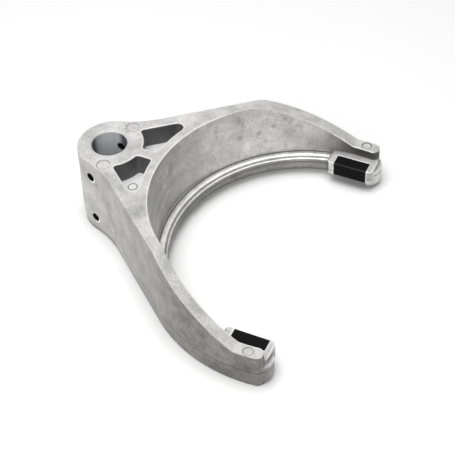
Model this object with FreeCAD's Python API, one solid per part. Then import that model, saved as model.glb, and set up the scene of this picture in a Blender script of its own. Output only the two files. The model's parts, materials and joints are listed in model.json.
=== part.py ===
"""Transmission shift fork: one aluminium casting with a plastic pad on the tip of each arm.

The part stands on its flat underside with the rail bore upright. The origin is on the bore's
axis at the underside, +X points along the fork to the open side, and lengths are millimetres.
The arms and their pads mirror each other across the XZ plane.
"""
import FreeCAD, Part
import math
import os
from FreeCAD import Vector

# Rail boss and its bore
bore_d = 25.0
bore_chamfer = 0.8
boss_height = 64.0
boss_r = 25.9
boss_centre_x = 2.0

# Cross-pin holes through the boss
pin_d = 6.5
pin_end_distance = 13.0
pin_angle = 7.0

# Arms, around the axis of the sleeve that the fork moves
bridge_length = 47.0
arm_inner_r = 100.8
arm_wall = 9.5
arm_end_angle = 6.2
fork_reach = bridge_length + arm_inner_r
arm_outer_r = arm_inner_r + arm_wall

# Flanks: straight walls from the boss to the arms, at a distance from the boss's centre
flank_offset = 17.95
flank_fillet_r = 75.0
flank_angle = math.degrees(math.asin((arm_outer_r - flank_offset) / (fork_reach - boss_centre_x)))

# Casting draft: the parting plane and the slope of the outer walls on both sides of it
parting_height = 12.5
draft_angle = 1.8

# Top face: level over the boss and crown, then a ramp down to a level face on each tip
tip_height = 27.2
tip_crease_r = 4.0
ramp_angle = 29.4
ramp_foot_setback = 3.0
shoulder_r = 15.0

# Crown: the inner wall of the arch leans outwards towards its top
crown_tightening = 8.4
crown_setback = 4.9
crown_lean = 3.3
crown_top_r = arm_inner_r - crown_tightening
crown_top_x = bridge_length - crown_setback

# Rib around the inside of the arch
rib_width = 6.6
rib_r = arm_inner_r - rib_width
rib_top = 17.5
rib_ledge = 3.2
rib_face_top = 14.9
rib_face_bottom = 9.3
rib_bottom = 6.7
rib_edge_r = 0.7

# Lightening pockets between the bore and the arch
pocket_depth = 15.2
pocket_draft = 1.0
pocket_bore_wall = 11.7
pocket_flank_wall = 7.8
pocket_arch_wall = 6.3
pocket_mid_rib = 7.6
pocket_bore_corner_r = 2.4
pocket_rib_corner_r = 3.0
pocket_flank_corner_r = 4.8
pocket_bore_r = bore_d / 2 + pocket_bore_wall

# Pad seats on the tips and the plastic pads
pad_length = 25.0
pad_inset = 14.8
pad_face_distance = arm_inner_r - pad_inset
pad_width = 9.4
pad_height = 11.0
pad_centre_height = 14.3
pad_wall = 2.6
pad_edge_r = 0.5
seat_start_wall = 5.8
seat_end_wall = 4.4
seat_corner_r = 3.5
toe_r = 10.3
toe_length = 2.9
toe_inset = 2.6
toe_drop = 3.6
toe_bottom = 4.0

# Round marks of the ejector pins
ejector_depth = 0.35
boss_mark_d = 9.2
boss_mark_x = 7.2
boss_mark_y = 21.4
tip_mark_d = 6.8
tip_mark_offset = 5.8

UP = Vector(0, 0, 1)
slack = 5.0


def at(x, y, z=0.0):
    """A point in the part's frame."""
    return Vector(x, y, z)


def polar(centre, radius, degrees):
    """A point on a circle that lies level with its centre."""
    angle = math.radians(degrees)
    return centre + Vector(radius * math.cos(angle), radius * math.sin(angle), 0)


def line(start, end):
    """A straight edge."""
    return Part.LineSegment(start, end).toShape()


def arc(start, middle, end):
    """A round edge through three points."""
    return Part.Arc(start, middle, end).toShape()


def mirrored(shape):
    """The same shape on the other arm."""
    return shape.mirror(Vector(0, 0, 0), Vector(0, 1, 0))


def same_place(edge, other):
    """Whether two straight edges lie in the same place."""
    return edge.CenterOfMass.distanceToPoint(other.CenterOfMass) < 0.01


def edge_y(edge):
    """How far out an edge lies."""
    return edge.CenterOfMass.y


def flank_points(offset, z):
    """Tangent points of one flank at y > 0, for an outline moved outwards by offset."""
    boss = at(boss_centre_x, 0, z)
    sleeve = at(fork_reach, 0, z)
    boss_radius = boss_r + offset
    outer_radius = arm_outer_r + offset
    fillet_radius = flank_fillet_r - offset
    normal_angle = 90 + flank_angle
    run = (fork_reach - boss_centre_x) * math.sin(math.radians(flank_angle))
    gap = outer_radius - run
    turn = math.degrees(math.acos((gap + fillet_radius) / (boss_radius + fillet_radius)))
    start_angle = normal_angle - turn
    fillet_centre = polar(boss, boss_radius + fillet_radius, start_angle)
    leave_boss = polar(boss, boss_radius, start_angle)
    fillet_middle = polar(fillet_centre, -fillet_radius, normal_angle - turn / 2)
    join_line = polar(fillet_centre, -fillet_radius, normal_angle)
    join_arm = polar(sleeve, outer_radius, normal_angle)
    return leave_boss, fillet_middle, join_line, join_arm


def fork_outline(offset, z):
    """The closed plan outline: boss, flanks, arms with round ends, and the arch between them."""
    sleeve = at(fork_reach, 0, z)
    outer_radius = arm_outer_r + offset
    middle_radius = (outer_radius + arm_inner_r) / 2
    cap_radius = (outer_radius - arm_inner_r) / 2
    end_angle = 90 - arm_end_angle
    leave_boss, fillet_middle, join_line, join_arm = flank_points(offset, z)
    outer_end = polar(sleeve, outer_radius, end_angle)
    inner_end = polar(sleeve, arm_inner_r, end_angle)
    outer_middle = polar(sleeve, outer_radius, (end_angle + 90 + flank_angle) / 2)
    cap_middle = polar(polar(sleeve, middle_radius, end_angle), cap_radius, end_angle - 90)
    side = [
        arc(leave_boss, fillet_middle, join_line),
        line(join_line, join_arm),
        arc(join_arm, outer_middle, outer_end),
        arc(outer_end, cap_middle, inner_end),
    ]
    boss_tail = at(boss_centre_x - boss_r - offset, 0, z)
    other_leave = at(leave_boss.x, -leave_boss.y, z)
    other_inner = at(inner_end.x, -inner_end.y, z)
    edges = side + [mirrored(edge) for edge in side]
    edges.append(arc(other_leave, boss_tail, leave_boss))
    edges.append(arc(inner_end, at(fork_reach - arm_inner_r, 0, z), other_inner))
    return Part.Wire(Part.__sortEdges__(edges))


def drafted_body():
    """The whole plan outline, widest at the parting plane, from the underside to the top face."""
    slope = math.tan(math.radians(draft_angle))
    bottom = fork_outline(-slope * parting_height, 0)
    middle = fork_outline(0, parting_height)
    top = fork_outline(-slope * (boss_height - parting_height), boss_height)
    lower = Part.makeLoft([bottom, middle], True, True)
    upper = Part.makeLoft([middle, top], True, True)
    return lower.fuse(upper)


def ramp_cutter():
    """What is taken off above the ramps and the tips, with rounded creases."""
    angle = math.radians(ramp_angle)
    foot_x = fork_reach - ramp_foot_setback
    shoulder_x = foot_x - (boss_height - tip_height) / math.tan(angle)
    far_x = fork_reach + arm_outer_r
    crown = at(shoulder_x, 0, boss_height)
    foot = at(foot_x, 0, tip_height)
    down = Vector(math.cos(angle), 0, -math.sin(angle))

    def crease(corner, before, after, radius):
        reach = radius * math.tan(angle / 2)
        start = corner - before * reach
        end = corner + after * reach
        bisector = (after - before).normalize()
        middle = corner + bisector * (radius / math.cos(angle / 2) - radius)
        return start, middle, end

    along = Vector(1, 0, 0)
    a1, a2, a3 = crease(crown, along, down, shoulder_r)
    b1, b2, b3 = crease(foot, down, along, tip_crease_r)
    far_low = at(far_x, 0, tip_height)
    far_high = at(far_x, 0, boss_height + slack)
    near_high = at(a1.x, 0, boss_height + slack)
    edges = [
        arc(a1, a2, a3),
        line(a3, b1),
        arc(b1, b2, b3),
        line(b3, far_low),
        line(far_low, far_high),
        line(far_high, near_high),
        line(near_high, a1),
    ]
    face = Part.Face(Part.Wire(edges))
    face.translate(Vector(0, -far_x, 0))
    return face.extrude(Vector(0, 2 * far_x, 0))


def crown_cutter():
    """A leaning cylinder that opens the arch towards the top of the crown."""
    run = boss_height - rib_top
    lean = Vector(-crown_lean, 0, run)
    start = at(crown_top_x + crown_top_r + crown_lean, 0, rib_top)
    disc = Part.Face(Part.Wire(Part.makeCircle(crown_top_r, start)))
    reach = (run + slack) / run
    return disc.extrude(lean * reach)


def arch_rib():
    """The rib inside the arch, turned about the sleeve's axis from pad seat to pad seat."""
    outer = arm_inner_r + rib_ledge
    ledge = arm_inner_r - rib_ledge
    seat_x = fork_reach - pad_length / 2 - seat_start_wall / 2
    half = 90 + math.degrees(math.asin((seat_x - fork_reach) / rib_r))
    section = Part.makePolygon([
        at(outer, 0, rib_bottom),
        at(ledge, 0, rib_bottom),
        at(rib_r, 0, rib_face_bottom),
        at(rib_r, 0, rib_face_top),
        at(ledge, 0, rib_top),
        at(outer, 0, rib_top),
        at(outer, 0, rib_bottom),
    ])
    ring = Part.Face(section).revolve(Vector(0, 0, 0), UP, 2 * half)
    face_edges = []
    for edge in ring.Edges:
        ends = [vertex.Point for vertex in edge.Vertexes]
        on_face = all(abs(math.hypot(p.x, p.y) - rib_r) < 0.01 for p in ends)
        level = abs(ends[0].z - ends[-1].z) < 0.01
        if on_face and level:
            face_edges.append(edge)
    ring = ring.makeFillet(rib_edge_r, face_edges)
    ring.rotate(Vector(0, 0, 0), UP, 180 - half)
    ring.translate(at(fork_reach, 0))
    return ring


def pocket_wire(shrink, z):
    """Outline of the pocket at y > 0, with every side moved inwards by shrink."""
    bore_radius = pocket_bore_r + shrink
    arch_radius = crown_top_r + pocket_arch_wall + shrink
    arch_centre = at(crown_top_x + crown_top_r, 0, z)
    slope = math.tan(math.radians(draft_angle))
    wall_radius = arm_outer_r - slope * (boss_height - parting_height) - pocket_flank_wall - shrink
    rib_y = pocket_mid_rib / 2 + shrink
    flank = math.radians(flank_angle)
    normal = Vector(-math.sin(flank), math.cos(flank), 0)
    along = Vector(math.cos(flank), math.sin(flank), 0)
    on_flank = at(fork_reach, 0, z) + normal * wall_radius

    def flank_crossing(centre, radius, sign):
        offset = on_flank - centre
        middle = offset.dot(along)
        rest = offset.dot(offset) - radius * radius
        return on_flank + along * (-middle + sign * math.sqrt(middle * middle - rest))

    inner_low = at(math.sqrt(bore_radius ** 2 - rib_y ** 2), rib_y, z)
    inner_high = flank_crossing(at(0, 0, z), bore_radius, 1)
    outer_high = flank_crossing(arch_centre, arch_radius, -1)
    outer_low = at(arch_centre.x - math.sqrt(arch_radius ** 2 - rib_y ** 2), rib_y, z)
    low_angle = math.degrees(math.atan2(inner_low.y, inner_low.x))
    high_angle = math.degrees(math.atan2(inner_high.y, inner_high.x))
    bore_middle = polar(at(0, 0, z), bore_radius, (low_angle + high_angle) / 2)
    from_centre = outer_high - arch_centre
    arch_high = math.degrees(math.atan2(from_centre.y, from_centre.x))
    from_centre = outer_low - arch_centre
    arch_low = math.degrees(math.atan2(from_centre.y, from_centre.x))
    arch_middle = polar(arch_centre, arch_radius, (arch_high + arch_low) / 2)
    return Part.Wire([
        arc(inner_low, bore_middle, inner_high),
        line(inner_high, outer_high),
        arc(outer_high, arch_middle, outer_low),
        line(outer_low, inner_low),
    ])


def pocket_cutter():
    """One drafted pocket with rounded corners, open at the top face."""
    floor = boss_height - pocket_depth
    solid = Part.makeLoft([pocket_wire(pocket_draft, floor), pocket_wire(0, boss_height)], True, True)
    middle_x = (pocket_bore_r + crown_top_x - pocket_arch_wall) / 2
    upright = [edge for edge in solid.Edges if abs(edge.tangentAt(edge.FirstParameter).z) > 0.9]
    by_arch = sorted((edge for edge in upright if edge.CenterOfMass.x > middle_x), key=edge_y)
    by_bore = [edge for edge in upright if edge.CenterOfMass.x < middle_x]
    groups = [
        (pocket_bore_corner_r, by_bore),
        (pocket_rib_corner_r, by_arch[:1]),
        (pocket_flank_corner_r, by_arch[1:]),
    ]
    for radius, corners in groups:
        edges = [edge for edge in solid.Edges if any(same_place(edge, corner) for corner in corners)]
        solid = solid.makeFillet(radius, edges)
    lid = [face for face in solid.Faces if abs(face.CenterOfMass.z - boss_height) < 0.01][0]
    return solid.fuse(lid.extrude(Vector(0, 0, slack)))


def rounded_block(x0, x1, y0, y1, z0, z1, corners):
    """A block whose upright edges at the given plan corners are rounded."""
    block = Part.makeBox(x1 - x0, y1 - y0, z1 - z0, at(x0, y0, z0))
    upright = []
    for edge in block.Edges:
        ends = [vertex.Point for vertex in edge.Vertexes]
        if abs(ends[0].z - ends[1].z) > 0.01:
            if any(math.hypot(ends[0].x - x, ends[0].y - y) < 0.01 for x, y in corners):
                upright.append(edge)
    return block.makeFillet(seat_corner_r, upright)


def pad_blank():
    """The pad's outer block on the arm at y > 0."""
    corner = at(fork_reach - pad_length / 2, pad_face_distance, pad_centre_height - pad_height / 2)
    return Part.makeBox(pad_length, pad_width, pad_height, corner)


def tongue():
    """The metal tongue inside the pad, on the arm at y > 0."""
    depth = pad_width - pad_wall
    height = pad_height - 2 * pad_wall
    corner = at(fork_reach - pad_length / 2, pad_face_distance + pad_wall, pad_centre_height - height / 2)
    return Part.makeBox(pad_length, depth, height, corner)


def pad_seat():
    """The seat block on one tip: a wall at each end of the pad and a back wall."""
    x0 = fork_reach - pad_length / 2 - seat_start_wall
    x1 = fork_reach + pad_length / 2 + seat_end_wall
    z0 = pad_centre_height - pad_height / 2
    z1 = pad_centre_height + pad_height / 2
    back = (arm_inner_r + arm_outer_r) / 2
    back_y = math.sqrt(back ** 2 - (x0 - fork_reach) ** 2)
    corners = [(x0, pad_face_distance), (x1, pad_face_distance), (x1, back_y)]
    return rounded_block(x0, x1, pad_face_distance, back_y, z0, z1, corners)


def toe():
    """The round nose below the seat's end wall, on the arm at y > 0."""
    wall_x = fork_reach + pad_length / 2
    centre_x = wall_x + seat_end_wall + toe_length - toe_r
    centre_y = pad_face_distance + toe_inset + toe_r
    height = pad_centre_height + pad_height / 2 - toe_drop - toe_bottom
    nose = Part.makeCylinder(toe_r, height, at(centre_x, centre_y, toe_bottom))
    behind = Part.makeBox(2 * toe_r, 2 * toe_r, height, at(wall_x, centre_y - toe_r, toe_bottom))
    return nose.common(behind)


def cross_pin_cutter(z):
    """One cross-pin hole through both walls of the boss."""
    reach = 2 * boss_r
    direction = Vector(math.sin(math.radians(pin_angle)), math.cos(math.radians(pin_angle)), 0)
    start = at(0, 0, z) - direction * reach
    return Part.makeCylinder(pin_d / 2, 2 * reach, start, direction)


def ejector_mark(x, y, z, diameter):
    """A shallow round mark in a level face."""
    return Part.makeCylinder(diameter / 2, ejector_depth + slack, at(x, y, z - ejector_depth))


def fork_casting():
    """The casting with its arch, rib, seats, bore, pin holes, pockets and marks."""
    body = drafted_body()
    body = body.cut(ramp_cutter())
    body = body.cut(crown_cutter())
    tip_parts = [pad_seat(), toe()]
    body = body.fuse([arch_rib()] + tip_parts + [mirrored(piece) for piece in tip_parts])
    cavity = pad_blank().cut(tongue())
    body = body.cut([cavity, mirrored(cavity)])
    bore = Part.makeCylinder(bore_d / 2, boss_height + 2 * slack, at(0, 0, -slack))
    rim = Part.makeCone(bore_d / 2 + bore_chamfer + slack, bore_d / 2, bore_chamfer + slack, at(0, 0, -slack))
    top_rim = rim.mirror(at(0, 0, boss_height / 2), UP)
    body = body.cut([bore, rim, top_rim])
    body = body.cut([cross_pin_cutter(pin_end_distance), cross_pin_cutter(boss_height - pin_end_distance)])
    pocket = pocket_cutter()
    body = body.cut([pocket, mirrored(pocket)])
    mark_r = (arm_inner_r + arm_outer_r) / 2
    tip_mark_y = math.sqrt(mark_r ** 2 - tip_mark_offset ** 2)
    boss_mark = ejector_mark(boss_mark_x, boss_mark_y, boss_height, boss_mark_d)
    tip_mark = ejector_mark(fork_reach + tip_mark_offset, tip_mark_y, tip_height, tip_mark_d)
    body = body.cut([boss_mark, mirrored(boss_mark), tip_mark, mirrored(tip_mark)])
    return body.removeSplitter()


def pad():
    """One plastic pad: a channel that wraps the tongue, with softened outer edges."""
    blank = pad_blank()
    front = []
    for edge in blank.Edges:
        if all(abs(vertex.Point.y - pad_face_distance) < 0.01 for vertex in edge.Vertexes):
            front.append(edge)
    return blank.makeFillet(pad_edge_r, front).cut(tongue())


def save(shape, name):
    """Write one piece under its name and print what it measures."""
    solid = shape.Solids[0]
    print(name, len(shape.Solids), "solid", round(solid.Volume), "mm3", "valid", solid.isValid())
    solid.exportStep("parts/" + name + ".step")


os.makedirs("parts", exist_ok=True)
save(fork_casting(), "fork_casting")
far_pad = pad()
save(far_pad, "far_pad")
save(mirrored(far_pad), "near_pad")
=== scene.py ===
import json
import math
import bpy
from mathutils import Matrix, Vector


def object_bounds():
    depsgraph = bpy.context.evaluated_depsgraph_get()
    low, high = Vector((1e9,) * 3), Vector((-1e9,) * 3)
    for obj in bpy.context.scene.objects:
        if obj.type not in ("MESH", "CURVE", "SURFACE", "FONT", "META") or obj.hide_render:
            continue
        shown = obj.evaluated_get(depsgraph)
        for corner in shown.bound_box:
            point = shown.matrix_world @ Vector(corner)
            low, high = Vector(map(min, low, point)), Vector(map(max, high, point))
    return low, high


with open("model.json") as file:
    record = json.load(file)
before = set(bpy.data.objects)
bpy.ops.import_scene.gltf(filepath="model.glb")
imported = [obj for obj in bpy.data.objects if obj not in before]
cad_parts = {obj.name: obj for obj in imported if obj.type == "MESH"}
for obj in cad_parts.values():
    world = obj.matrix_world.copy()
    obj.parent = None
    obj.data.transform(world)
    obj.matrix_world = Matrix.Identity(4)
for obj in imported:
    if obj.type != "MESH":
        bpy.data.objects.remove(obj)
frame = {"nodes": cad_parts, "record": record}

cad_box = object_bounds()
millimetre = 0.001

# Camera
# It stands above the near arm and looks down over the fork from about 45 degrees, as in the photograph.
# The lens is a long one on a 36 mm wide sensor, and the frame is a little turned.
camera_place = Vector((0.3693, -0.5369, 0.6194))
camera_azimuth = math.radians(117.54)
camera_elevation = math.radians(44.96)
camera_roll = math.radians(-3.39)
camera_lens_mm = 96.0
sensor_width_mm = 36.0
nearest_seen = 0.01
farthest_seen = 50.0

forward = Vector((
    math.cos(camera_azimuth) * math.cos(camera_elevation),
    math.sin(camera_azimuth) * math.cos(camera_elevation),
    -math.sin(camera_elevation),
))
level_right = Vector((math.sin(camera_azimuth), -math.cos(camera_azimuth), 0))
level_up = level_right.cross(forward)
right = level_right * math.cos(camera_roll) + level_up * math.sin(camera_roll)
up = level_up * math.cos(camera_roll) - level_right * math.sin(camera_roll)
camera_data = bpy.data.cameras.new("camera")
camera_data.lens = camera_lens_mm
camera_data.sensor_width = sensor_width_mm
camera_data.clip_start = nearest_seen
camera_data.clip_end = farthest_seen
camera = bpy.data.objects.new("camera", camera_data)
turn = Matrix((right, up, -forward)).transposed().to_4x4()
camera.matrix_world = Matrix.Translation(camera_place) @ turn
bpy.context.scene.collection.objects.link(camera)
bpy.context.scene.camera = camera
bpy.context.scene.view_settings.view_transform = "Standard"


# Studio
# One wide softbox hangs over the fork, and weaker ones stand in front of it and to its left.
# The floor is pale and keeps the fork's soft shadow; close to the fork its glow is dimmed, a painted
# contact shadow.
# The background is white.
softbox_size = 0.9
softbox_place = Vector((0.02, -0.05, 1.1))
softbox_watts = 10.0
front_box_size = 0.7
front_box_place = Vector((0.45, -1.0, 0.7))
front_box_watts = 3.0
left_box_size = 0.4
left_box_place = Vector((-0.40, -0.50, 0.40))
left_box_watts = 0.5
studio_level = 0.06
white = (1, 1, 1, 1)
floor_size = 6.0
floor_drop = 0.0002
floor_shade = 0.95
floor_glow = 0.27
contact_shadow_reach = 22.0 * millimetre
contact_shadow_span = (0.30, 0.88)
contact_shadow_samples = 16


def feed(tree, socket, value):
    """Link the value to the socket if it is a socket, and otherwise set it."""
    if isinstance(value, bpy.types.NodeSocket):
        tree.links.new(value, socket)
    else:
        socket.default_value = value


def add(tree, kind, inputs, **settings):
    """Add a shader node with its settings, feed the inputs given by name, and return the node."""
    made = tree.nodes.new(kind)
    for name, value in settings.items():
        setattr(made, name, value)
    for name, value in inputs.items():
        feed(tree, made.inputs[name], value)
    return made


def calc(tree, operation, *values):
    """The result of one math node."""
    made = tree.nodes.new("ShaderNodeMath")
    made.operation = operation
    for index, value in enumerate(values):
        feed(tree, made.inputs[index], value)
    return made.outputs[0]


def product(tree, *masks):
    """The product of several masks."""
    result = masks[0]
    for mask in masks[1:]:
        result = calc(tree, "MULTIPLY", result, mask)
    return result


def remap(tree, value, span, to_low=0.0, to_high=1.0):
    """The value carried in a straight line from its span to another one, and held at the ends."""
    low, high = span
    limits = {"Value": value, "From Min": low, "From Max": high, "To Min": to_low, "To Max": to_high}
    return add(tree, "ShaderNodeMapRange", limits).outputs[0]


def background_rays(tree):
    """1 for the rays that show the background: those of the camera, of gloss and of glass."""
    rays = tree.nodes.new("ShaderNodeLightPath")
    seen = calc(tree, "MAXIMUM", rays.outputs["Is Camera Ray"], rays.outputs["Is Glossy Ray"])
    return calc(tree, "MAXIMUM", seen, rays.outputs["Is Transmission Ray"])


def softbox(name, place, target, size, watts):
    """A square area light at place that faces target."""
    data = bpy.data.lights.new(name, "AREA")
    data.shape = "SQUARE"
    data.size = size
    data.energy = watts
    lamp = bpy.data.objects.new(name, data)
    lamp.location = place
    lamp.rotation_euler = (target - place).to_track_quat("-Z", "Y").to_euler()
    bpy.context.scene.collection.objects.link(lamp)


fork_middle = (cad_box[0] + cad_box[1]) / 2
softbox("overhead_softbox", softbox_place, fork_middle, softbox_size, softbox_watts)
softbox("front_softbox", front_box_place, fork_middle, front_box_size, front_box_watts)
softbox("left_softbox", left_box_place, fork_middle, left_box_size, left_box_watts)

world = bpy.data.worlds.new("studio")
world.use_nodes = True
bpy.context.scene.world = world
sky = world.node_tree
sky.nodes.clear()
gap_to_white = calc(sky, "MULTIPLY", background_rays(sky), 1.0 - studio_level)
sky_level = calc(sky, "ADD", gap_to_white, studio_level)
dome = add(sky, "ShaderNodeBackground", {"Color": white, "Strength": sky_level})
sky_output = sky.nodes.new("ShaderNodeOutputWorld")
sky.links.new(dome.outputs[0], sky_output.inputs["Surface"])

half_floor = floor_size / 2
floor_mesh = bpy.data.meshes.new("floor")
floor_sides = ((-1, -1), (1, -1), (1, 1), (-1, 1))
floor_corners = [(side_x * half_floor, side_y * half_floor, -floor_drop) for side_x, side_y in floor_sides]
floor_mesh.from_pydata(floor_corners, [], [(0, 1, 2, 3)])
floor = bpy.data.objects.new("floor", floor_mesh)
bpy.context.scene.collection.objects.link(floor)
floor_material = bpy.data.materials.new("pale_floor")
floor_material.use_nodes = True
paint = floor_material.node_tree
paint.nodes.clear()
matt = add(paint, "ShaderNodeBsdfDiffuse", {"Color": (floor_shade, floor_shade, floor_shade, 1)})
# Ambient occlusion dims the floor's glow near the fork: a painted contact shadow.
contact = add(
    paint,
    "ShaderNodeAmbientOcclusion",
    {"Distance": contact_shadow_reach},
    samples=contact_shadow_samples,
)
open_floor = remap(paint, contact.outputs["AO"], contact_shadow_span)
glow_level = product(paint, background_rays(paint), floor_glow, open_floor)
glow = add(paint, "ShaderNodeEmission", {"Color": white, "Strength": glow_level})
both = paint.nodes.new("ShaderNodeAddShader")
paint.links.new(matt.outputs[0], both.inputs[0])
paint.links.new(glow.outputs[0], both.inputs[1])
floor_output = paint.nodes.new("ShaderNodeOutputMaterial")
paint.links.new(both.outputs[0], floor_output.inputs["Surface"])
floor.data.materials.append(floor_material)


# Fork casting
# The fork is one aluminium die casting with a matt, finely speckled skin, a reamed rail bore,
# pockets with painted shade on their walls, a parting line low on its walls, ejector marks, and stains on
# the arch's wall.
# Painted light and shade also lie on the arch's wall, the rib, the bore, creases, edges and pin holes.
# Its bore, pin holes, boss top, sleeve axis and pad seats lie where the frame's mounts state them.
mounts = {mount["name"]: mount for mount in frame["record"]["mounts"]}
bore_radius = mounts["rail_bore"]["dims"]["r_mm"] * millimetre
pin_hole_radius = mounts["upper_pin_hole"]["dims"]["r_mm"] * millimetre
pin_hole_heights = [mounts[name]["pos_m"][2] for name in ("lower_pin_hole", "upper_pin_hole")]
boss_top = mounts["boss_top"]["pos_m"][2]
sleeve_axis_x = mounts["far_pad_inner"]["pos_m"][0]
seat_top = mounts["far_pad_upper"]["pos_m"][2]
boss_radius = 25.9 * millimetre
crown_axis_x = 134.5 * millimetre
crown_radius = 92.4 * millimetre
arch_wall_radius = 105.7 * millimetre
rib_root_radius = 100.8 * millimetre
flank_angle = math.radians(39.3)
flank_distance = 108.7 * millimetre
flank_wall = 7.8 * millimetre
seat_start_x = 129.3 * millimetre
upright_fade = (0.25, 0.45)
level_fade = (0.05, 0.20)
bevel_samples = 6
edge_turn_span = (0.01, 0.11)
speckle_detail = 3.0
speckle_roughness = 0.6


def new_group(name, inputs, outputs):
    """An empty shader node group with its input and output nodes, from names and kinds of socket."""
    group = bpy.data.node_groups.new(name, "ShaderNodeTree")
    for socket, kind in inputs:
        group.interface.new_socket(socket, in_out="INPUT", socket_type=kind)
    for socket, kind in outputs:
        group.interface.new_socket(socket, in_out="OUTPUT", socket_type=kind)
    return group, group.nodes.new("NodeGroupInput"), group.nodes.new("NodeGroupOutput")


def noise(tree, coordinates, scale, detail, roughness):
    """Plain noise from 0 to 1 at the coordinates."""
    inputs = {"Vector": coordinates, "Scale": scale, "Detail": detail, "Roughness": roughness}
    return add(tree, "ShaderNodeTexNoise", inputs).outputs[0]


def soft_edge_group():
    """Rounds the look of the edges, and puts out a mask that is 1 on the rounded part."""
    outputs = [("Normal", "NodeSocketVector"), ("Mask", "NodeSocketFloat")]
    group, entry, leave = new_group("soft_edge", [("Radius", "NodeSocketFloat")], outputs)
    bevel = add(group, "ShaderNodeBevel", {"Radius": entry.outputs["Radius"]}, samples=bevel_samples)
    geometry = group.nodes.new("ShaderNodeNewGeometry")
    agree = add(group, "ShaderNodeVectorMath", {}, operation="DOT_PRODUCT")
    group.links.new(bevel.outputs[0], agree.inputs[0])
    group.links.new(geometry.outputs["True Normal"], agree.inputs[1])
    turned = calc(group, "SUBTRACT", 1.0, agree.outputs["Value"])
    group.links.new(bevel.outputs[0], leave.inputs["Normal"])
    group.links.new(remap(group, turned, edge_turn_span), leave.inputs["Mask"])
    return group


def speckle_group():
    """Fine grain from noise: a shade around 1, and a height around 0 for bump."""
    inputs = [("Scale", "NodeSocketFloat"), ("Strength", "NodeSocketFloat")]
    outputs = [("Shade", "NodeSocketFloat"), ("Height", "NodeSocketFloat")]
    group, entry, leave = new_group("speckle", inputs, outputs)
    place = group.nodes.new("ShaderNodeTexCoord").outputs["Object"]
    fine = noise(group, place, entry.outputs["Scale"], speckle_detail, speckle_roughness)
    centred = calc(group, "SUBTRACT", fine, 0.5)
    shade = calc(group, "ADD", calc(group, "MULTIPLY", centred, entry.outputs["Strength"]), 1.0)
    group.links.new(shade, leave.inputs["Shade"])
    group.links.new(centred, leave.inputs["Height"])
    return group


soft_edge = soft_edge_group()
speckle = speckle_group()


def group_node(tree, group, inputs):
    """Place a node group in a material with its own values, and return its node."""
    made = tree.nodes.new("ShaderNodeGroup")
    made.node_tree = group
    for name, value in inputs.items():
        feed(tree, made.inputs[name], value)
    return made


def new_material(name):
    """A new material, its node tree and its shader."""
    material = bpy.data.materials.new(name)
    material.use_nodes = True
    return material, material.node_tree, material.node_tree.nodes["Principled BSDF"]


def falloff(tree, value, fade):
    """1 before the fade's start, 0 past its end, and smooth between. A fade is its start and end."""
    start, end = fade
    limits = {"Value": value, "From Min": start, "From Max": end, "To Min": 1.0, "To Max": 0.0}
    return add(tree, "ShaderNodeMapRange", limits, interpolation_type="SMOOTHSTEP").outputs[0]


def beyond(tree, value, fade):
    """0 before the fade's start, 1 past its end, and smooth between."""
    return calc(tree, "SUBTRACT", 1.0, falloff(tree, value, fade))


def distance_from(tree, x, y, centre_x, centre_y):
    """Distance from a point in the plane of two coordinates."""
    across = calc(tree, "SUBTRACT", x, centre_x)
    along = calc(tree, "SUBTRACT", y, centre_y)
    across_squared = calc(tree, "MULTIPLY", across, across)
    along_squared = calc(tree, "MULTIPLY", along, along)
    return calc(tree, "SQRT", calc(tree, "ADD", across_squared, along_squared))


def stretched(tree, coordinates, scale, lean=0.0):
    """Coordinates scaled by an amount of their own along each axis, and leaned about X."""
    inputs = {"Vector": coordinates, "Rotation": (lean, 0.0, 0.0), "Scale": scale}
    return add(tree, "ShaderNodeMapping", inputs).outputs[0]


def blend(tree, factor, below, above, kind="MIX"):
    """One colour over another by a factor."""
    made = tree.nodes.new("ShaderNodeMix")
    made.data_type = "RGBA"
    made.blend_type = kind
    feed(tree, made.inputs[0], factor)
    feed(tree, made.inputs[6], below)
    feed(tree, made.inputs[7], above)
    return made.outputs[2]


def shaded(tree, colour, shade):
    """A colour made darker or lighter by a value around 1."""
    grey = add(tree, "ShaderNodeCombineColor", {"Red": shade, "Green": shade, "Blue": shade})
    return blend(tree, 1.0, colour, grey.outputs[0], "MULTIPLY")


def grey_profile(tree, value, span, points):
    """A grey that follows the value over its span through points of share and grey."""
    ramp = add(tree, "ShaderNodeValToRGB", {"Fac": remap(tree, value, span)})
    stops = ramp.color_ramp.elements
    stops.remove(stops[1])
    for index, (position, grey) in enumerate(points):
        stop = stops[0] if index == 0 else stops.new(position)
        stop.position = position
        stop.color = (grey, grey, grey, 1)
    return add(tree, "ShaderNodeSeparateColor", {"Color": ramp.outputs[0]}).outputs[0]


casting_material, metal, shader = new_material("cast_aluminium_skin")
place = metal.nodes.new("ShaderNodeTexCoord").outputs["Object"]
x, y, z = add(metal, "ShaderNodeSeparateXYZ", {"Vector": place}).outputs
facing = metal.nodes.new("ShaderNodeNewGeometry").outputs["True Normal"]
facing_z = add(metal, "ShaderNodeSeparateXYZ", {"Vector": facing}).outputs[2]
upright = falloff(metal, calc(metal, "ABSOLUTE", facing_z), upright_fade)
level = falloff(metal, calc(metal, "SUBTRACT", 1.0, facing_z), level_fade)
from_bore = distance_from(metal, x, y, 0.0, 0.0)
from_sleeve = distance_from(metal, x, y, sleeve_axis_x, 0.0)
from_crown = distance_from(metal, x, y, crown_axis_x, 0.0)
toward_boss = calc(metal, "SUBTRACT", sleeve_axis_x, x)
flank_share = calc(metal, "MULTIPLY", toward_boss, math.sin(flank_angle))
off_centre = calc(metal, "ABSOLUTE", y)
from_flank = calc(metal, "MULTIPLY_ADD", off_centre, math.cos(flank_angle), flank_share)
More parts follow.
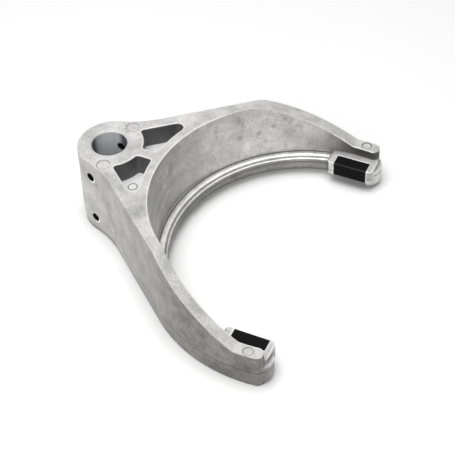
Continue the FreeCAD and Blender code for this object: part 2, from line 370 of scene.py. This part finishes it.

# The skin: fine grain, cloudy blotches and smudges, and on the outside of the arms a mottled darkening,
# partly grime and partly painted shade
cast_metal = (0.630, 0.625, 0.612, 1)
smudged_metal = (0.360, 0.358, 0.350, 1)
shaded_grimy_metal = (0.285, 0.278, 0.252, 1)
darkest_shaded_grimy_metal = (0.145, 0.141, 0.128, 1)
grain_scale = 560.0
grain_strength = 0.60
fleck_scale = 1400.0
fleck_strength = 0.45
blotch_scale = 55.0
blotch_detail = 5.0
blotch_roughness = 0.65
blotch_contrast = 1.40
smudge_scale = 34.0
smudge_detail = 6.0
smudge_roughness = 0.60
smudge_span = (0.50, 0.66)
smudge_strength = 0.40
mottle_scale = 150.0
mottle_detail = 5.0
mottle_roughness = 0.72
mottle_span = (0.36, 0.64)
shade_along_arm = (-30.0 * millimetre, 130.0 * millimetre)
shade_outside = (1.02 * rib_root_radius, 1.075 * rib_root_radius)
shade_low_edge = (1.0 * millimetre, 7.0 * millimetre)
low_edge_shade_strength = 0.35
shade_and_grime_strength = 0.97

grain = group_node(metal, speckle, {"Scale": grain_scale, "Strength": grain_strength})
fleck = group_node(metal, speckle, {"Scale": fleck_scale, "Strength": fleck_strength})
blotches = noise(metal, place, blotch_scale, blotch_detail, blotch_roughness)
blotch_shade = calc(metal, "MULTIPLY_ADD", blotches, blotch_contrast, 1.0 - blotch_contrast / 2)
smudges = noise(metal, place, smudge_scale, smudge_detail, smudge_roughness)
smudge_mask = product(metal, remap(metal, smudges, smudge_span), smudge_strength)
mottle = noise(metal, place, mottle_scale, mottle_detail, mottle_roughness)
mottled_shade_and_grime = blend(metal, remap(metal, mottle, mottle_span), shaded_grimy_metal, darkest_shaded_grimy_metal)
# Outside walls darken towards the arm tips and the bottom edge: partly grime, partly painted shade.
on_arm = beyond(metal, x, shade_along_arm)
outside = beyond(metal, from_sleeve, shade_outside)
low_edge_shade = product(metal, falloff(metal, z, shade_low_edge), low_edge_shade_strength)
shade_and_grime = product(metal, outside, calc(metal, "MAXIMUM", on_arm, low_edge_shade), upright, shade_and_grime_strength)
colour = blend(metal, shade_and_grime, cast_metal, mottled_shade_and_grime)
colour = blend(metal, smudge_mask, colour, smudged_metal)
colour = shaded(metal, colour, blotch_shade)
colour = shaded(metal, colour, grain.outputs["Shade"])
colour = shaded(metal, colour, fleck.outputs["Shade"])

# The arch's wall: painted light and shade that make it lighter towards the far arm, with flow streaks near
# the crown, stains, three dark spots, and painted shade above the pad seats
stained_metal = (0.300, 0.295, 0.262, 1)
dark_line_and_shade_metal = (0.022, 0.022, 0.021, 1)
arch_wall_fade = (arch_wall_radius, 1.012 * arch_wall_radius)
painted_wall_light_y = (10.0 * millimetre, 70.0 * millimetre)
painted_wall_light_change = 0.17
streak_scale = (26.0, 26.0, 150.0)
streak_lean = math.radians(14.0)
streak_detail = 3.0
streak_roughness = 0.6
streak_span = (0.44, 0.66)
streak_end_y = (-10.0 * millimetre, 40.0 * millimetre)
streak_strength = 0.60
stain_stretch = (1.0, 1.0, 0.8)
stain_scale = 85.0
stain_detail = 4.0
stain_roughness = 0.68
stain_span = (0.56, 0.68)
stain_strength = 0.60
stain_spots = [
    (70.3 * millimetre, 64.6 * millimetre, 40.0 * millimetre),
    (80.7 * millimetre, 75.2 * millimetre, 39.8 * millimetre),
    (89.6 * millimetre, 82.3 * millimetre, 43.8 * millimetre),
]
stain_spot_fade = (1.16 * millimetre, 2.9 * millimetre)
stain_spot_strength = 0.55
seat_shade_x = (108.0 * millimetre, 148.0 * millimetre)
outside_seat_fade = (0.985 * rib_root_radius, 0.995 * rib_root_radius)
above_seat_fade = (seat_top - 1.2 * millimetre, seat_top + 0.2 * millimetre)
seat_shade_strength = 0.95

on_arch_wall = product(metal, falloff(metal, from_sleeve, arch_wall_fade), upright)
# Painted light and shade: the wall is lighter towards the far arm and darker towards the near one.
painted_wall_light = remap(metal, y, painted_wall_light_y, -painted_wall_light_change, painted_wall_light_change)
colour = shaded(metal, colour, calc(metal, "MULTIPLY_ADD", painted_wall_light, on_arch_wall, 1.0))
along_wall = stretched(metal, place, streak_scale, streak_lean)
streaks = noise(metal, along_wall, 1.0, streak_detail, streak_roughness)
near_crown = falloff(metal, y, streak_end_y)
streak_mask = remap(metal, streaks, streak_span)
streak_mask = product(metal, streak_mask, on_arch_wall, near_crown, streak_strength)
colour = blend(metal, streak_mask, colour, stained_metal)
stain_place = stretched(metal, place, stain_stretch)
stains = noise(metal, stain_place, stain_scale, stain_detail, stain_roughness)
stain_mask = product(metal, remap(metal, stains, stain_span), on_arch_wall, stain_strength)
colour = blend(metal, stain_mask, colour, stained_metal)
for spot in stain_spots:
    off_spot = add(metal, "ShaderNodeVectorMath", {}, operation="DISTANCE")
    feed(metal, off_spot.inputs[0], place)
    feed(metal, off_spot.inputs[1], spot)
    in_spot = falloff(metal, off_spot.outputs["Value"], stain_spot_fade)
    colour = blend(metal, product(metal, in_spot, stain_spot_strength), colour, stained_metal)
# Painted shade on the wall above the pad seats.
beside_seat = remap(metal, x, seat_shade_x)
outside_seat = beyond(metal, from_sleeve, outside_seat_fade)
above_seat = beyond(metal, z, above_seat_fade)
seat_shade = product(metal, beside_seat, outside_seat, above_seat, on_arch_wall, seat_shade_strength)
colour = blend(metal, seat_shade, colour, dark_line_and_shade_metal)

# The pockets: painted shade darkens their walls
pocket_shade_metal = (0.095, 0.095, 0.096, 1)
outside_boss_fade = (0.70 * boss_radius, 0.88 * boss_radius)
outside_crown_fade = (1.025 * crown_radius, 1.045 * crown_radius)
inside_flank_fade = (flank_distance - 0.65 * flank_wall, flank_distance - 0.35 * flank_wall)
pocket_rim_fade = (flank_distance - 0.75 * flank_wall, flank_distance - 0.25 * flank_wall)
pocket_end_fade = (60.0 * millimetre, 66.0 * millimetre)
pocket_shade_strength = 0.95

outside_boss = beyond(metal, from_bore, outside_boss_fade)
outside_crown = beyond(metal, from_crown, outside_crown_fade)
inside_flank = falloff(metal, from_flank, inside_flank_fade)
inside_rim = falloff(metal, from_flank, pocket_rim_fade)
before_pocket_end = falloff(metal, x, pocket_end_fade)
in_pocket = product(metal, outside_boss, outside_crown, inside_flank, before_pocket_end)
near_pocket = product(metal, outside_boss, inside_rim, before_pocket_end)
# Painted shade on the pockets' walls.
pocket_wall_shade = product(metal, in_pocket, upright, pocket_shade_strength)
colour = blend(metal, pocket_wall_shade, colour, pocket_shade_metal)

# The rib: painted light and shade run across it; from its face to its root it goes dark, bright, dark,
# bright, and dark in the crease
rib_width = 6.6 * millimetre
rib_bottom = 6.7 * millimetre
rib_top = 17.5 * millimetre
rib_end_x = 132.0 * millimetre
rib_span = (rib_root_radius - rib_width, rib_root_radius)
rib_root_fade = (1.003 * rib_root_radius, 1.008 * rib_root_radius)
rib_end_fade = (rib_end_x - 2.0 * millimetre, rib_end_x)
rib_top_fade = (rib_top + 0.3 * millimetre, rib_top + 0.9 * millimetre)
rib_bottom_fade = (rib_bottom - 0.6 * millimetre, rib_bottom)
rib_brightness = 1.45
rib_points = [
    (0.0, 0.28), (0.02, 0.32), (0.06, 0.95), (0.12, 0.90), (0.18, 0.34),
    (0.30, 0.34), (0.40, 1.0), (0.82, 1.0), (0.91, 0.50), (0.97, 0.12),
]

on_rib = product(
    metal,
    falloff(metal, from_sleeve, rib_root_fade),
    falloff(metal, x, rib_end_fade),
    falloff(metal, z, rib_top_fade),
    beyond(metal, z, rib_bottom_fade),
)
rib_painted_light = grey_profile(metal, from_sleeve, rib_span, rib_points)
rib_light_change = calc(metal, "MULTIPLY_ADD", rib_painted_light, rib_brightness, -1.0)
colour = shaded(metal, colour, calc(metal, "MULTIPLY_ADD", rib_light_change, on_rib, 1.0))

# Painted shade darkens the creases, and painted light keeps the pockets' floors bright
crease_shade_and_ring_colour = (0.130, 0.130, 0.125, 1)
pocket_floor_light_metal = (0.970, 0.970, 0.975, 1)
crease_reach = 8.0 * millimetre
crease_samples = 8
crease_fade = (0.30, 0.90)
crease_shade_strength = 0.60
pocket_depth = 15.2 * millimetre
pocket_floor_height = boss_top - pocket_depth
pocket_floor_fade = (1.10 * pocket_floor_height, 1.15 * pocket_floor_height)

occlusion = add(
    metal,
    "ShaderNodeAmbientOcclusion",
    {"Distance": crease_reach},
    samples=crease_samples,
).outputs["AO"]
# Painted shade where ambient occlusion finds a crease.
crease_shade_mask = product(metal, falloff(metal, occlusion, crease_fade), crease_shade_strength)
colour = blend(metal, crease_shade_mask, colour, crease_shade_and_ring_colour)
# Painted light on the pockets' floors.
painted_pocket_floor_light = product(metal, in_pocket, level, falloff(metal, z, pocket_floor_fade))
colour = blend(metal, painted_pocket_floor_light, colour, pocket_floor_light_metal)

# The parting line, which is darker along the arms
parting_height = 12.5 * millimetre
parting_fade = (0.25 * millimetre, 0.55 * millimetre)
parting_strength = 0.30
parting_gain_on_arm = 0.35

off_parting = calc(metal, "ABSOLUTE", calc(metal, "SUBTRACT", z, parting_height))
parting_depth = calc(metal, "MULTIPLY_ADD", on_arm, parting_gain_on_arm, parting_strength)
parting_line = product(metal, falloff(metal, off_parting, parting_fade), upright, parting_depth)
colour = blend(metal, parting_line, colour, dark_line_and_shade_metal)

# The rings of the ejector marks and of the disc in the near pocket, each with its place,
# its radius and its strength
ring_fade = (0.26 * millimetre, 0.65 * millimetre)
tip_mark_x = sleeve_axis_x + 5.8 * millimetre
ring_marks = [
    (7.2 * millimetre, 21.4 * millimetre, 4.6 * millimetre, 0.45),
    (7.2 * millimetre, -21.4 * millimetre, 4.6 * millimetre, 0.45),
    (tip_mark_x, 105.4 * millimetre, 3.4 * millimetre, 0.95),
    (tip_mark_x, -105.4 * millimetre, 3.4 * millimetre, 0.50),
    (27.6 * millimetre, -19.6 * millimetre, 3.2 * millimetre, 0.80),
]

rings = 0.0
for mark_x, mark_y, mark_radius, strength in ring_marks:
    from_mark = distance_from(metal, x, y, mark_x, mark_y)
    off_ring = calc(metal, "ABSOLUTE", calc(metal, "SUBTRACT", from_mark, mark_radius))
    ring = product(metal, falloff(metal, off_ring, ring_fade), strength)
    rings = calc(metal, "MAXIMUM", rings, ring)
colour = blend(metal, product(metal, rings, level), colour, crease_shade_and_ring_colour)

# Painted shade in the crease where the rib meets a pad seat
joint_x = seat_start_x + 0.5 * millimetre
joint_fade = (0.6 * millimetre, 1.3 * millimetre)
joint_inside_fade = (0.990 * rib_root_radius, 0.998 * rib_root_radius)
joint_top_fade = (seat_top + 0.1 * millimetre, seat_top + 0.6 * millimetre)
joint_strength = 0.85

off_joint = calc(metal, "ABSOLUTE", calc(metal, "SUBTRACT", x, joint_x))
seat_crease_shade = product(
    metal,
    falloff(metal, off_joint, joint_fade),
    falloff(metal, from_sleeve, joint_inside_fade),
    falloff(metal, z, joint_top_fade),
    joint_strength,
)
colour = blend(metal, seat_crease_shade, colour, dark_line_and_shade_metal)

# Edges carry a painted highlight, brightest round the pockets and on the pad seats
edge_highlight_metal = (0.970, 0.970, 0.970, 1)
edge_radius = 1.0 * millimetre
highlight_edge_width = 2.2 * millimetre
arch_edge_fade = (1.03 * rib_root_radius, 1.045 * rib_root_radius)
crown_edge_fade = (1.03 * crown_radius, 1.05 * crown_radius)
arch_edge_share = 0.35
seat_edge_fade = (rib_root_radius, 1.02 * rib_root_radius)
seat_edge_x = (seat_start_x - 2.0 * millimetre, seat_start_x)
plain_edge_highlight = 0.15
inner_edge_highlight_gain = 0.70
open_fade = (0.55, 0.90)

edges = group_node(metal, soft_edge, {"Radius": edge_radius})
highlight_rounding = group_node(metal, soft_edge, {"Radius": highlight_edge_width})
arch_edge = falloff(metal, from_sleeve, arch_edge_fade)
arch_edge = calc(metal, "MAXIMUM", arch_edge, falloff(metal, from_crown, crown_edge_fade))
arch_edge = product(metal, arch_edge, arch_edge_share)
at_seat = falloff(metal, from_sleeve, seat_edge_fade)
at_seat = product(metal, at_seat, beyond(metal, x, seat_edge_x))
inner_edge = calc(metal, "MAXIMUM", arch_edge, near_pocket)
inner_edge = calc(metal, "MAXIMUM", inner_edge, at_seat)
edge_highlight_strength = calc(metal, "MULTIPLY_ADD", inner_edge, inner_edge_highlight_gain, plain_edge_highlight)
in_the_open = beyond(metal, occlusion, open_fade)
# Painted highlight on the rounded edges, kept out of the creases.
edge_highlight_mask = product(metal, highlight_rounding.outputs["Mask"], edge_highlight_strength, in_the_open)
colour = blend(metal, edge_highlight_mask, colour, edge_highlight_metal)

# The reamed bore carries painted light and shade in bands along it, with fine tool lines
painted_light_bore_metal = (0.960, 0.985, 1.000, 1)
painted_shade_bore_metal = (0.085, 0.095, 0.102, 1)
bore_wall_fade = (1.005 * bore_radius, 1.02 * bore_radius)
bore_band_angle = math.radians(126.0)
bore_band_fade = (0.52, 0.90)
tool_line_scale = (420.0, 420.0, 6.0)
tool_line_detail = 2.0
tool_line_roughness = 0.55
tool_line_contrast = 0.50

in_bore = product(metal, falloff(metal, from_bore, bore_wall_fade), upright)
toward_band = calc(metal, "MULTIPLY", x, math.cos(bore_band_angle) / bore_radius)
toward_band = calc(metal, "MULTIPLY_ADD", y, math.sin(bore_band_angle) / bore_radius, toward_band)
painted_bore_band = beyond(metal, calc(metal, "ABSOLUTE", toward_band), bore_band_fade)
along_bore = stretched(metal, place, tool_line_scale)
tool_lines = noise(metal, along_bore, 1.0, tool_line_detail, tool_line_roughness)
tool_shade = calc(metal, "MULTIPLY_ADD", tool_lines, tool_line_contrast, 1.0 - tool_line_contrast / 2)
bore_colour = blend(metal, painted_bore_band, painted_shade_bore_metal, painted_light_bore_metal)
colour = blend(metal, in_bore, colour, shaded(metal, bore_colour, tool_shade))

# The pin holes carry a painted shadow inside and a painted highlight on the lip on one side
hole_shadow = (0.012, 0.012, 0.013, 1)
pin_hole_lean = math.radians(7.0)
pin_lip_offset = 1.0 * millimetre
pin_lip_fade = (0.95 * pin_hole_radius, 1.08 * pin_hole_radius)
pin_hole_fade = (1.01 * pin_hole_radius, 1.05 * pin_hole_radius)
bore_clear_radius = 1.01 * bore_radius
rib_highlight_fade = (0.75, 0.95)

along_pins = calc(metal, "MULTIPLY", y, math.sin(pin_hole_lean))
across_pins = calc(metal, "MULTIPLY", x, math.cos(pin_hole_lean))
across_pins = calc(metal, "SUBTRACT", across_pins, along_pins)
behind_bore = calc(metal, "GREATER_THAN", from_bore, bore_clear_radius)
# Painted highlights: the rib's bright bands, the edges and the pin holes' lips; they are made more
# metallic.
rib_highlight = product(metal, on_rib, beyond(metal, rib_painted_light, rib_highlight_fade))
painted_highlights = calc(metal, "MAXIMUM", edge_highlight_mask, rib_highlight)
for hole_z in pin_hole_heights:
    from_lip = distance_from(metal, across_pins, z, pin_lip_offset, hole_z - pin_lip_offset)
    lip_highlight = product(metal, falloff(metal, from_lip, pin_lip_fade), behind_bore)
    colour = blend(metal, lip_highlight, colour, edge_highlight_metal)
    painted_highlights = calc(metal, "MAXIMUM", painted_highlights, lip_highlight)
    from_pin = distance_from(metal, across_pins, z, 0.0, hole_z)
    in_hole = product(metal, falloff(metal, from_pin, pin_hole_fade), behind_bore)
    colour = blend(metal, in_hole, colour, hole_shadow)

# The relief of grain, blotches and parting line, which leaves out the smooth bore
blotch_relief = 1.6
parting_relief = 1.2
relief_strength = 0.6
relief_depth = 0.25 * millimetre
cast_roughness = 0.46
reamed_roughness = 0.28
cast_metallic = 0.16
reamed_metallic = 0.05
highlight_metallic = 0.65

blotch_height = calc(metal, "MULTIPLY", blotches, blotch_relief)
parting_groove = calc(metal, "MULTIPLY", parting_line, parting_relief)
height = calc(metal, "ADD", grain.outputs["Height"], blotch_height)
height = calc(metal, "SUBTRACT", height, parting_groove)
height = calc(metal, "MULTIPLY", height, calc(metal, "SUBTRACT", 1.0, in_bore))
relief = add(metal, "ShaderNodeBump", {
    "Height": height,
    "Normal": edges.outputs["Normal"],
    "Strength": relief_strength,
    "Distance": relief_depth,
})
roughness = calc(metal, "MULTIPLY_ADD", in_bore, reamed_roughness - cast_roughness, cast_roughness)
metallic = calc(metal, "MULTIPLY_ADD", in_bore, reamed_metallic - cast_metallic, cast_metallic)
# Painted highlights are made more metallic.
metallic = calc(metal, "MULTIPLY_ADD", painted_highlights, highlight_metallic - cast_metallic, metallic)
feed(metal, shader.inputs["Base Color"], colour)
feed(metal, shader.inputs["Roughness"], roughness)
feed(metal, shader.inputs["Metallic"], metallic)
feed(metal, shader.inputs["Normal"], relief.outputs[0])
frame["nodes"]["fork_casting"].data.materials.clear()
frame["nodes"]["fork_casting"].data.materials.append(casting_material)


# Pads
# Each arm tip carries a moulded black plastic pad that wraps the casting's tongue.
# It is matt with a fine grain. Its edges, most of all the upper one of its face, carry a painted
# highlight.
pad_plastic = (0.007, 0.007, 0.0075, 1)
plastic_highlight = (0.070, 0.070, 0.072, 1)
pad_roughness = 0.60
pad_gloss = 0.05
pad_grain_scale = 1600.0
pad_grain_strength = 0.8
pad_edge_radius = 0.5 * millimetre
pad_face_distance = mounts["far_pad_inner"]["pos_m"][1]
pad_top = mounts["far_pad_upper"]["pos_m"][2]
corner_highlight_fade = (0.27 * millimetre, 0.9 * millimetre)
highlight_strength = 0.7
pad_relief_strength = 0.3
pad_relief_depth = 0.1 * millimetre

pad_material, plastic, shader = new_material("moulded_black_plastic")
pad_place = plastic.nodes.new("ShaderNodeTexCoord").outputs["Object"]
pad_axes = add(plastic, "ShaderNodeSeparateXYZ", {"Vector": pad_place})
grain = group_node(plastic, speckle, {"Scale": pad_grain_scale, "Strength": pad_grain_strength})
edges = group_node(plastic, soft_edge, {"Radius": pad_edge_radius})
pad_off_centre = calc(plastic, "ABSOLUTE", pad_axes.outputs[1])
behind_face = calc(plastic, "SUBTRACT", pad_off_centre, pad_face_distance)
below_top = calc(plastic, "SUBTRACT", pad_top, pad_axes.outputs[2])
# Painted highlight on the pad's edges, most of all the upper edge of its face.
corner_highlight = product(
    plastic,
    falloff(plastic, behind_face, corner_highlight_fade),
    falloff(plastic, below_top, corner_highlight_fade),
)
painted_highlights = calc(plastic, "MAXIMUM", corner_highlight, edges.outputs["Mask"])
colour = shaded(plastic, pad_plastic, grain.outputs["Shade"])
colour = blend(plastic, product(plastic, painted_highlights, highlight_strength), colour, plastic_highlight)
relief = add(plastic, "ShaderNodeBump", {
    "Height": grain.outputs["Height"],
    "Normal": edges.outputs["Normal"],
    "Strength": pad_relief_strength,
    "Distance": pad_relief_depth,
})
feed(plastic, shader.inputs["Base Color"], colour)
feed(plastic, shader.inputs["Normal"], relief.outputs[0])
shader.inputs["Roughness"].default_value = pad_roughness
shader.inputs["Specular IOR Level"].default_value = pad_gloss
for name in ("far_pad", "near_pad"):
    frame["nodes"][name].data.materials.clear()
    frame["nodes"][name].data.materials.append(pad_material)
